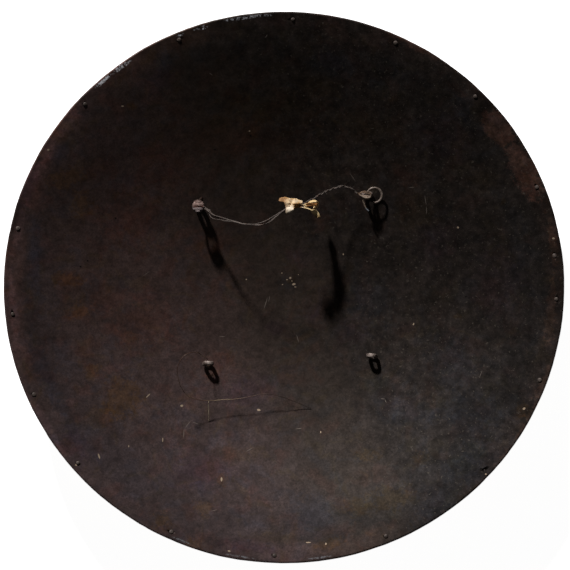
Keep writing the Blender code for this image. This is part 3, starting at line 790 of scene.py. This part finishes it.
TONE_AND_PAINTED_SHADING = (
    (-38, -165, 110, 70, 62), (-26, -60, -196, 85, 34), (22, 108, -70, 46, 30), (26, 100, -176, 40, 22),
    (-16, -70, -158, 26, 20), (-14, 170, 45, 34, 26), (-24, 158, 130, 16, 26, -40),
    (-22, -214, -50, 12, 52, 14), (16, -150, -75, 40, 32), (16, -38, -68, 26, 16), (20, 0, 215, 60, 12),
    (14, -140, 25, 34, 20), (-12, 150, 15, 18, 18), (-15, -60, -215, 60, 14, 10), (24, 14, 100, 15, 12),
    (-26, -19, 79, 12, 12), (-20, -46, 57, 9, 8), (24, -187, 124, 18, 24, -20), (22, 96, 163, 9, 16),
    (-26, 178, 147, 14, 10, -40), (26, 188, 120, 9, 9), (26, 210, 100, 9, 9), (22, 192, 73, 9, 8),
    (-20, 157, 39, 16, 12), (-32, 232, -14, 8, 22), (-30, -232, 66, 8, 22), (18, 192, -141, 26, 16, -50),
    (16, 112, -178, 18, 14), (20, 88, -34, 17, 14), (18, -24, -10, 17, 12), (-24, 78, 19, 14, 14),
    (16, -51, -76, 17, 12), (-14, -46, -116, 15, 9), (18, 42, 50, 18, 10), (18, 62, 103, 18, 10),
    (-12, -90, -212, 14, 7), (-16, 35, -233, 16, 5), (-14, 168, 146, 9, 9), (-18, 232, -12, 7, 14),
    (12, -66, 66, 6, 20), (10, 40, 45, 12, 10), (-12, -226, 68, 8, 14), (-8, 0, -226, 14, 8),
    (-26, 231, 30, 8, 26), (-16, -232, 60, 7, 30), (-16, 212, 64, 10, 12), (-14, 168, 145, 10, 10),
    (-12, 160, 36, 14, 10), (-10, -70, 66, 20, 10), (-12, -25, 75, 14, 10), (14, 150, -190, 22, 12, 40),
    (14, 182, 143, 10, 10), (10, -200, 196, 8, 8), (-18, -226, 66, 8, 24), (-20, 230, -10, 8, 20),
    (-22, -90, -210, 14, 8), (-22, -35, -232, 26, 6), (-18, 35, -232, 26, 6), (8, -45, 26, 16, 12),
    (20, 182, 30, 9, 9), (-10, 170, 160, 12, 9),
)
PINK_BORDER = ((184, 136, 19, 11, -53), (206, 100, 27, 11, -65))
PALE_BORDER = (
    (-184, 144, 24, 8, 52), (-206, 108, 24, 6, 63), (-226, 55, 34, 5, 76), (-232, -20, 40, 4, 95),
    (-205, -116, 40, 5, 121), (120, 202, 34, 5, -30), (0, 228, 40, 5),
)
CREAM_BORDER = (
    (223, -88, 30, 6, 68), (208, -122, 26, 7, 59), (188, -151, 26, 6, 51), (168, -172, 16, 4, 44),
    (229, -20, 30, 5, 85), (230, 40, 24, 4, -80), (116, 206, 34, 4, -29),
)
PALE_CHIPS = (
    (-22, -107, 1.9, 1.1, -15), (-54, -166, 0.9, 2.0), (-159, -145, 0.8, 2.6, 20), (-89, -103, 1.5, 1.2),
    (-178, -152, 1.4, 1.0, 40), (5.6, 8.3, 1.3, 1.1, 30), (8.6, 2.8, 1.9, 1.1, 15), (2.6, 6.8, 0.8, 0.5),
    (-1.8, 12.6, 0.6, 0.5), (-1.3, 2.5, 0.6, 0.5), (12.6, 11.2, 0.6, 0.4), (10, 0.4, 1.0, 0.5),
    (7, 5.6, 0.7, 0.5), (113, -32, 0.8, 1.3, -20), (-202, 118, 1.2, 1.0), (-139, 156, 1.3, 0.7),
    (231, 42, 1.3, 1.0), (206, -104, 1.6, 1.1, 30), (21, -219, 2.6, 0.5), (36, -220, 0.8, 1.1),
    (-47, -226, 1.4, 0.8, -10), (32, -126, 0.6, 0.9), (-33, 7, 0.7, 0.7), (52, 29, 0.7, 0.8),
    (151, 52, 0.9, 0.9), (-30, 136, 0.9, 0.8), (-105, -132, 0.5, 2.2), (-134, -137, 0.5, 1.1),
    (-118, -94, 2.8, 0.6, 45), (173, -160, 1.0, 0.8),
)
SCRATCHES = (
    (-16, -14, 6.6, 0.42, 73), (-13, -10, 3.1, 0.38, 80), (12, -45, 4.2, 0.42, -75),
    (-54, -43, 3.1, 0.40), (86, -97, 2.2, 0.40, -5), (88.5, -99, 2.0, 0.40, -65),
    (123, 76, 5.0, 0.38, -80), (124, 67, 4.2, 0.36, 90), (111, 87, 3.0, 0.40, 3),
    (-87, -127, 4.6, 0.42, 88), (-83.5, -119, 4.4, 0.38, 52), (-77, -118, 3.4, 0.36, -20),
    (13, -123, 3.0, 0.40, 4), (-63, 184, 2.2, 0.40, -35), (-15, 216, 1.8, 0.45, 60),
    (-30, -141, 4.0, 0.30, 30), (60, 96, 5.5, 0.28, -55), (-120, 12, 5.0, 0.28, 35),
    (170, -75, 4.6, 0.28, 70), (-60, -192, 3.5, 0.30, 15),
)
# The first spot is painted shade in the blocked rivet hole; the others are small dark spots.
SPOTS_AND_HOLE_SHADE = (
    (169, -156, 1.7, 1.7), (-176, 18, 0.9, 0.8), (-170, 23, 0.8, 0.8), (-29, 132, 1.0, 1.2),
    (158, -8, 1.0, 0.9), (100, 20, 1.4, 1.0, 30), (-60, 120, 1.2, 0.8), (-146, 60, 1.0, 0.9),
)
BARE_RIM_AND_GLINTS = (
    (98, 5.2, 1.7), (93.5, 1.2, 1.2), (107.6, 1.6, 1.4), (112, 0.9, 1.3), (126.0, 2.6, 2.3),
    (130.8, 2.6, 1.9), (248.3, 2.4, 1.1), (260.8, 4.2, 1.0), (277.5, 3.2, 1.0),
)


def way_out(at, x, y, long, wide, turn=0.0):
    """0 where a point of the mesh is in the middle of an oval, and 1 where it is at its edge."""
    away = Matrix.Rotation(-math.radians(turn), 2) @ Vector((at.x * 1000 - x, at.y * 1000 - y))
    return math.hypot(away.x / long, away.y / wide)


SOFT_PATCHES = (
    ("red_brown", RED_BROWN, 2.4, 0.9, (1.14, 0.95, 0.88)),
    ("olive_brown", OLIVE_BROWN, 2.4, 0.9, (1.07, 1.00, 0.82)),
    ("violet_grey", VIOLET_GREY, 2.4, 0.9, (1.00, 0.93, 1.10)),
    ("blue_grey", BLUE_GREY, 2.2, 0.8, (0.86, 0.98, 1.16)),
    ("ochre_rust", OCHRE_RUST, 3.4, 0.8, (1.24, 1.06, 0.74)),
    ("pink_border", PINK_BORDER, 1.8, 0.3, (2.75, 1.95, 1.75)),
    ("pale_border", PALE_BORDER, 2.6, 0.9, (1.65, 1.55, 1.62)),
    ("cream_border", CREAM_BORDER, 4.0, 0.6, (1.9, 1.62, 1.40)),
)
for name, ovals, *_ in SOFT_PATCHES:
    layer = bm.verts.layers.float.new(name)
    for v in bm.verts:
        v[layer] = max(-1.0, *(1 - way_out(v.co, *each) for each in ovals))
layer = bm.verts.layers.float.new("tone_and_painted_shading")
for v in bm.verts:
    gains = (gain / 100 * math.exp(-way_out(v.co, *each) ** 2) for gain, *each in TONE_AND_PAINTED_SHADING)
    v[layer] = math.prod(1 + gain for gain in gains)

patina, shader, place = new_finish("brown_patina", 0.56, 0.72, 0.32)
tree = patina.node_tree
shader.inputs["Specular Tint"].default_value = (1.0, 0.91, 0.86, 1)
axes = along_axes(place)
middle = add_node(
    tree, "Mapping",
    {"Vector": place, "Scale": (EDGE_RADIUS * STRETCH.x, EDGE_RADIUS * STRETCH.y, 10)}, vector_type="TEXTURE",
).outputs["Vector"]
from_middle = length_from(middle)
broad = cloudy(place, 11, 3)
lumps = cloudy(place, 42, 5, 0.62)
mottle = cloudy(place, 150, 4, 0.65)
specks = cloudy(place, 520, 3, 0.6)
grain = cloudy(place, 1150, 1, 0.5)
edge = cloudy(place, 210, 4, 0.75)
rightwards = {0: place, 1: (0.94, 0.34, 0)}
across = add_node(tree, "VectorMath", rightwards, operation="DOT_PRODUCT").outputs["Value"]
across = sums(broad, 0.08, across)

shade = blended(spread(lumps, 0.30, 0.70), (0.0270, 0.0184, 0.0140), (0.0355, 0.0250, 0.0200))
# Much lighter towards the left, and darker and bluer towards the right.
shade = tinted(shade, spread(across, 0.045, -0.08), (2.15, 1.93, 2.20))
shade = tinted(shade, spread(across, 0.045, 0.095), (0.63, 0.67, 0.72))
shade = tinted(shade, spread(axes["Y"], 0.02, -0.18), (0.92, 1.01, 1.10))
# Lighter and darker patches: partly the patina's own tone, partly painted light and painted shade.
shade = scaled(shade, add_node(tree, "Attribute", attribute_name="tone_and_painted_shading").outputs["Fac"])
for scale, turn, low, high, tint in (
    (46, 0.4, 0.50, 0.64, (1.13, 0.97, 0.93)),
    (52, 0.6, 0.51, 0.64, (0.92, 1.00, 1.10)),
    (58, 0.8, 0.53, 0.66, (1.03, 1.01, 0.86)),
):
    shade = tinted(shade, spread(cloudy(place, scale, 4, 0.6, turn), low, high), tint)

ring_wave = sums(lumps, 0.07, from_middle)
band = product(spread(ring_wave, 0.82, 0.89), spread(ring_wave, 0.985, 0.955))
shade = tinted(shade, product(band, spread(broad, 0.35, 0.60)), (0.84, 0.89, 0.95))
border = product(spread(ring_wave, 0.965, 0.995), spread(cloudy(place, 13, 3), 0.42, 0.62))
shade = tinted(shade, border, (1.35, 1.20, 1.18))

for name, _, ragged, soft, tint in SOFT_PATCHES:
    depth = add_node(tree, "Attribute", attribute_name=name).outputs["Fac"]
    share = spread(sums(edge, ragged, depth), ragged / 2 - 0.1, ragged / 2 - 0.1 + soft)
    shade = tinted(shade, share, tint)

shade = toned(shade, mottle, 0.8)
shade = toned(shade, specks, 0.62)
shade = toned(shade, grain, 0.35)
right = spread(across, 0.03, 0.12)
shade = blended(right, shade, toned(toned(shade, lumps, 0.5), mottle, 0.7))
fleck = spread(sums(right, 0.06, cloudy(place, 430, 5, 0.7)), 0.64, 0.78)
shade = blended(fleck, shade, (0.085, 0.070, 0.056))
# Small dark spots, the first of them painted shade in the blocked rivet hole.
shade = blended(patches(place, SPOTS_AND_HOLE_SHADE, edge, 0.5, 0.4), shade, (0.006, 0.0045, 0.004))
chips = patches(place, PALE_CHIPS, edge, 0.5, 0.35)
shade = blended(chips, shade, (0.36, 0.27, 0.19))
scratches = patches(place, SCRATCHES, edge, 0.3, 0.5)
shade = blended(sums(scratches, 0.6, 0.0), shade, (0.20, 0.165, 0.14))

# Bare worn metal with a painted highlight: one patch by its place, and the others by their angle round the
# rim. It is pale and hardly metallic, lighter on the left towards the lamp and darker at the bottom.
worn_and_glint = [(-69.6, 222.8, 5.4, 2.0, 17)]
for angle, reach, breadth in BARE_RIM_AND_GLINTS:
    turn = math.radians(angle)
    half = EDGE_RADIUS * math.radians(reach) * 1000
    worn_and_glint.append((
        (EDGE_RADIUS - 0.0014) * STRETCH.x * math.cos(turn) * 1000,
        (EDGE_RADIUS - 0.0014) * STRETCH.y * math.sin(turn) * 1000,
        half, breadth, angle + 90,
    ))
bare_and_glint = product(patches(place, worn_and_glint, edge, 0.9, 0.5), spread(mottle, 0.36, 0.50))
bare_and_glint = product(bare_and_glint, spread(specks, 0.40, 0.60))
silver_and_glint = blended(spread(axes["X"], -0.045, -0.070), (0.34, 0.34, 0.36), (0.60, 0.60, 0.63))
silver_and_glint = blended(spread(axes["Y"], -0.10, 0.10), (0.12, 0.12, 0.128), silver_and_glint)
shade = blended(bare_and_glint, shade, silver_and_glint)
rough = add_node(tree, "MapRange", {0: specks, 3: 0.60, 4: 0.52}).outputs[0]
tree.links.new(sums(bare_and_glint, -0.10, rough), shader.inputs["Roughness"])
tree.links.new(sums(bare_and_glint, -0.62, 0.72), shader.inputs["Metallic"])
coat(shader, shade, sums(mottle, 1.2, specks), 0.16, 0.0003)

outer_patina, shader, place = new_finish("outer_patina", 0.58, 0.6, 0.45)
shade = blended(spread(cloudy(place, 30, 5), 0.32, 0.68), (0.024, 0.0165, 0.0135), (0.060, 0.041, 0.033))
shade = tinted(shade, spread(cloudy(place, 22, 4, 0.6, 0.5), 0.5, 0.64), (0.75, 0.86, 0.98))
shade = blended(spread(cloudy(place, 64, 7, 0.75), 0.57, 0.70), shade, (0.105, 0.052, 0.027))
shade = toned(shade, cloudy(place, 160, 4, 0.65), 0.8)
shade = toned(shade, cloudy(place, 620, 3, 0.6), 1.1)
coat(shader, shade, cloudy(place, 350, 6, 0.65), 0.35, 0.0004)

for face in bm.faces:
    reach = face.calc_center_median().xy.length
    face.material_index = 1 if face.normal.z < 0 and reach < EDGE_RADIUS - BEAD_RADIUS else 0
bowl = add_piece("hammered_bowl", bm, patina)
bowl.data.materials.append(outer_patina)
holes = bmesh.new()
for angle in (*RIVET_ANGLES, BLOCKED_RIVET_HOLE):
    rise = BLOCKED_RISE if angle == BLOCKED_RIVET_HOLE else 0
    bmesh.ops.create_cone(
        holes, cap_ends=True, segments=20, radius1=RIVET_HOLE_RADIUS, radius2=RIVET_HOLE_RADIUS, depth=0.008,
        matrix=rivet_seat(angle) @ Matrix.Translation((0, 0, rise)),
    )
bowl.data = merged(bowl, add_piece("punch", holes, patina), "DIFFERENCE")
bowl.data.name = "hammered_bowl"
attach(bowl, "root")
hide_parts("shield_bowl")


# Lining rivets. Small iron rivets set by hand just inside the rim, about a hand's breadth apart, that
# once held a padded lining. Their low heads are inside and the burrs are outside; one has dropped out,
# and its hole is blocked.
HEAD_RADIUS = 0.0019
HEAD_HEIGHT = 0.0008
HEAD_LIFT = 0.00025
rivet_iron = finish(
    "rivet_iron", (0.6, 0.3, 0.4), ((2200, 2), 0.4, 0.0001), (0.040, 0.028, 0.023),
    ((300, 3), 0.4, 0.6, (0.095, 0.072, 0.060)),
)
for i, angle in enumerate(RIVET_ANGLES, 1):
    rounding = [math.radians(a) for a in (0, 22, 44, 64, 80, 90)]
    head = [(HEAD_RADIUS * math.sin(a), HEAD_LIFT + HEAD_HEIGHT * math.cos(a)) for a in rounding]
    burr = [(0.0013, -PLATE), (0.0016, -PLATE - 0.0003), (0.0010, -PLATE - 0.0008), (0, -PLATE - 0.0009)]
    bm = spun([*head, (0.0012, HEAD_LIFT - 0.0002), *burr], 20)
    size = 1 + 0.16 * noise.noise(Vector((i * 3.7, 0, 0)))
    for v in bm.verts:
        v.co.x *= size
        v.co.y *= size * (1 + 0.12 * noise.noise(Vector((0, i * 2.9, 0))))
        if v.co.z > HEAD_LIFT:
            v.co += Vector(noise.noise_vector(v.co * 700 + Vector((i * 5, 0, 0)))) * 0.00016
    bm.transform(rivet_seat(angle) @ Matrix.Rotation(i * 1.3, 4, "Z"))
    rivet = add_piece(f"lining_rivet_{i:02d}", bm, rivet_iron, 50)
    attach(rivet, "root")
    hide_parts(f"rim_rivet_{i:02d}")


# Outside bosses. Plain raised domes of sheet iron that lie over the eye bolts' shanks and carry the
# riveting strain. They are as dark and rusty as the rest of the outside.
EYE_BOLTS = {
    "top_left": (-0.0750, 0.0728, -20.0),
    "top_right": (0.0737, 0.0818, 4.0),
    "bottom_left": (-0.0670, -0.0675, 0.0),
    "bottom_right": (0.0777, -0.0607, -5.0),
}
BOSS_RADIUS = 0.025
BOSS_HEIGHT = 0.012
BOSS_SHEET = 0.0012
GAP = 0.0003
UNDER = -PLATE - GAP
boss_iron = finish(
    "boss_iron", (0.6, 0.35, 0.4), ((500, 4), 0.5, 0.0003), (0.014, 0.010, 0.009),
    ((70, 5), 0.35, 0.65, (0.050, 0.034, 0.027)), ((160, 6, 0.7), 0.58, 0.70, (0.12, 0.060, 0.030)),
)
BOSS_LINE = ((29, 0, 120), (80, 0, 115), (140, 0, 93), (190, 0, 58), (222, 0, 22))
BOSS_STEP = 0.0012
dome_line = smooth_route(metres(BOSS_LINE), BOSS_STEP)
outer_line = [(p.x, UNDER - p.z) for p in dome_line]
flange = [(0.0229, UNDER - 0.0013), (0.0240, UNDER - 0.0011), (0.0248, UNDER - 0.0010)]
rim_out = [(BOSS_RADIUS, UNDER - 0.0006), (BOSS_RADIUS, UNDER + 0.0004)]


def plate_back(r):
    back = DOME + PLATE
    return UNDER - 0.0003 + (back - math.sqrt(back**2 - r**2))


under_line = [(0.0246, plate_back(0.0246)), (0.0208, plate_back(0.0208))]
inner_line = [(max(r - 0.0009, 0.0029), z + BOSS_SHEET) for r, z in outer_line[::-1] if r < 0.0212]
for place_name, (x, y, turn) in EYE_BOLTS.items():
    bm = spun([*outer_line, *flange, *rim_out, *under_line, *inner_line], 72)
    for v in bm.verts:
        if v.co.z < UNDER - 0.0018:
            lump_at = Vector((v.co.x, v.co.y, 0)) * 110 + Vector((x, y, 0)) * 300
            v.co.z += 0.00028 * noise.noise(lump_at) + 0.00012 * noise.noise(lump_at * 2.7)
    bm.transform(seat(x, y, turn))
    boss = add_piece(f"outside_{place_name}_boss", bm, boss_iron, 50)
    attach(boss, "root")
    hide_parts(f"boss_{place_name}")


# Eye bolts. Each is forged in one with its shank: a flat eye standing on the inside, drawn thin at
# the top by wear, and a shank riveted over outside the boss in a low button that the shield rests on.
EYE_THICKNESS = 0.0035
EYE_ROUNDING = 0.0009
EYE_BAR = 0.00275
EYE_HOLE_RADIUS = 0.00195
EYE_HOLE_LOW = 0.00495
EYE_HOLE_HIGH = 0.00885
SHANK_RADIUS = 0.0025
BUTTON_RADIUS = 0.006
BUTTON_DOME = 0.008
BUTTON_SPREAD = math.radians(48.6)
FOOT_FLAT = 0.00035
eye_iron = finish(
    "eye_iron", (0.55, 0.35), ((1400, 4), 0.5, 0.0002), (0.10, 0.072, 0.060),
    ((240, 4), 0.38, 0.62, (0.30, 0.24, 0.21)), ((520, 4, 0.7), 0.56, 0.68, (0.09, 0.040, 0.022)),
)


def stadium(bm, radius):
    """Edges of the round-ended outline of an eye or its hole, standing in the XZ plane."""
    stand = Matrix.Translation((0, -EYE_THICKNESS / 2, EYE_HOLE_LOW)) @ Matrix.Rotation(math.pi / 2, 4, "X")
    ring = bmesh.ops.create_circle(bm, segments=40, radius=radius, matrix=stand)["verts"]
    for v in ring:
        if v.co.z > EYE_HOLE_LOW + 1e-5:
            v.co.z += EYE_HOLE_HIGH - EYE_HOLE_LOW
    return list({e for v in ring for e in v.link_edges})


for place_name, (x, y, turn) in EYE_BOLTS.items():
    bm = bmesh.new()
    loops = stadium(bm, EYE_HOLE_RADIUS + EYE_BAR) + stadium(bm, EYE_HOLE_RADIUS)
    face = bmesh.ops.bridge_loops(bm, edges=loops)["faces"]
    for _ in range(2):
        grown = bmesh.ops.extrude_face_region(bm, geom=face)["geom"]
        face = [g for g in grown if isinstance(g, bmesh.types.BMFace)]
        moved = [v for v in grown if isinstance(v, bmesh.types.BMVert)]
        bmesh.ops.translate(bm, vec=(0, EYE_THICKNESS / 2, 0), verts=moved)
    # The eye grew in two steps, and the faces left between them are taken out.
    between = [f for f in bm.faces if all(abs(v.co.y) < 1e-6 for v in f.verts)]
    bmesh.ops.delete(bm, geom=between, context="FACES")
    bmesh.ops.recalc_face_normals(bm, faces=bm.faces)
    corners = [e for e in bm.edges if e.calc_face_angle(0) > 1.2]
    bmesh.ops.bevel(
        bm, geom=corners, offset=EYE_ROUNDING, segments=3, profile=0.5, affect="EDGES", material=-1
    )
    bmesh.ops.recalc_face_normals(bm, faces=bm.faces)
    eye = add_piece(f"forged_eye_{place_name}", bm, eye_iron)
    frame_of_eye = seat(x, y, turn)
    drop = -(frame_of_eye.translation.z - (BUTTON_DOME - FOOT_FLAT)) / frame_of_eye.col[2].z
    top = UNDER - BOSS_HEIGHT - GAP
    round_off = [BUTTON_SPREAD * share for share in (1, 0.85, 0.7, 0.55, 0.4, 0.25, 0.12)]
    button = [(BUTTON_DOME * math.sin(a), drop - BUTTON_DOME * math.cos(a)) for a in round_off]
    stem = [(0, 0.0020), (SHANK_RADIUS, 0.0016), (SHANK_RADIUS, top), (BUTTON_RADIUS, top)]
    shank = add_piece("shank", spun([*stem, *button, (0, drop - BUTTON_DOME)], 32), eye_iron)
    solid = bmesh.new()
    solid.from_mesh(merged(eye, shank, "UNION"))
    bpy.data.objects.remove(eye)
    for v in solid.verts:
        if v.co.z > 0.001:
            v.co.x *= 1 + 0.10 * noise.noise(Vector((x * 90, v.co.z * 160, 0)))
            v.co += Vector(noise.noise_vector(v.co * 420 + Vector((x, y, 0)) * 900)) * 0.00022
    solid.transform(frame_of_eye)
    cut_edges = bmesh.ops.bisect_plane(
        solid, geom=solid.verts[:] + solid.edges[:] + solid.faces[:],
        plane_co=(0, 0, 0), plane_no=(0, 0, -1), clear_outer=True,
    )["geom_cut"]
    bmesh.ops.holes_fill(solid, edges=[g for g in cut_edges if isinstance(g, bmesh.types.BMEdge)])
    bolt = add_piece(f"forged_eye_bolt_{place_name}", solid, eye_iron, 45)
    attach(bolt, "root")
    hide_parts(f"eye_bolt_{place_name}")


# Rings. Two small rings bent from round iron wire, one loose in each upper eye. The left one is
# pulled up on end by the wire; the right one lies level and its ends no longer meet.
RING_REST = 0.0090
RING_STEPS = 72
ring_iron = finish(
    "ring_iron", (0.5, 0.4), ((1600, 3), 0.5, 0.0002), (0.075, 0.054, 0.042),
    ((260, 3), 0.38, 0.62, (0.175, 0.138, 0.113)), ((700, 4, 0.7), 0.56, 0.68, (0.09, 0.045, 0.028)),
    ("X", 0.01, -0.01, (0.028, 0.014, 0.009)),
)
x, y, turn = EYE_BOLTS["top_left"]
held = seat(x, y, turn) @ Vector((0, 0, RING_REST))
up = Vector((-0.10, 0.10, 0.99)).normalized()
along = Vector((0.485, 0.875, 0))
along = (along - up * along.dot(up)).normalized()
on_end = Matrix((along, up, along.cross(up))).transposed().to_4x4()
standing = Matrix.Translation(held + up * RING_RADIUS) @ on_end
x, y, turn = EYE_BOLTS["top_right"]
held = seat(x, y, turn) @ Vector((0, 0, RING_REST))
level = Matrix.Translation(held + Vector((RING_RADIUS, 0, 0)))
for side_name, ring_frame, opening in (("left", standing, 0.0), ("right", level, 56.0)):
    is_open = opening > 0
    first = Matrix.Rotation(math.radians(229 + opening / 2), 4, "Z")
    stand = Matrix.Translation((RING_RADIUS, 0, 0)) @ Matrix.Rotation(math.pi / 2, 4, "X")
    bm = bmesh.new()
    bmesh.ops.create_circle(bm, cap_ends=is_open, segments=16, radius=RING_WIRE / 2)
    bmesh.ops.transform(bm, matrix=first @ stand, verts=bm.verts)
    bmesh.ops.spin(
        bm, geom=bm.verts[:] + bm.edges[:] + bm.faces[:], axis=(0, 0, 1), cent=(0, 0, 0),
        angle=math.radians(360 - opening), steps=RING_STEPS, use_merge=not is_open,
    )
    bmesh.ops.remove_doubles(bm, verts=bm.verts, dist=1e-6)
    bmesh.ops.recalc_face_normals(bm, faces=bm.faces)
    for v in bm.verts:
        v.co += Vector(noise.noise_vector(v.co * 380 + Vector((opening, 0, 0)))) * 0.00013
    bm.transform(ring_frame)
    ring = add_piece(f"loose_ring_{side_name}", bm, ring_iron, 60)
    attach(ring, "root")
    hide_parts(f"ring_{side_name}")
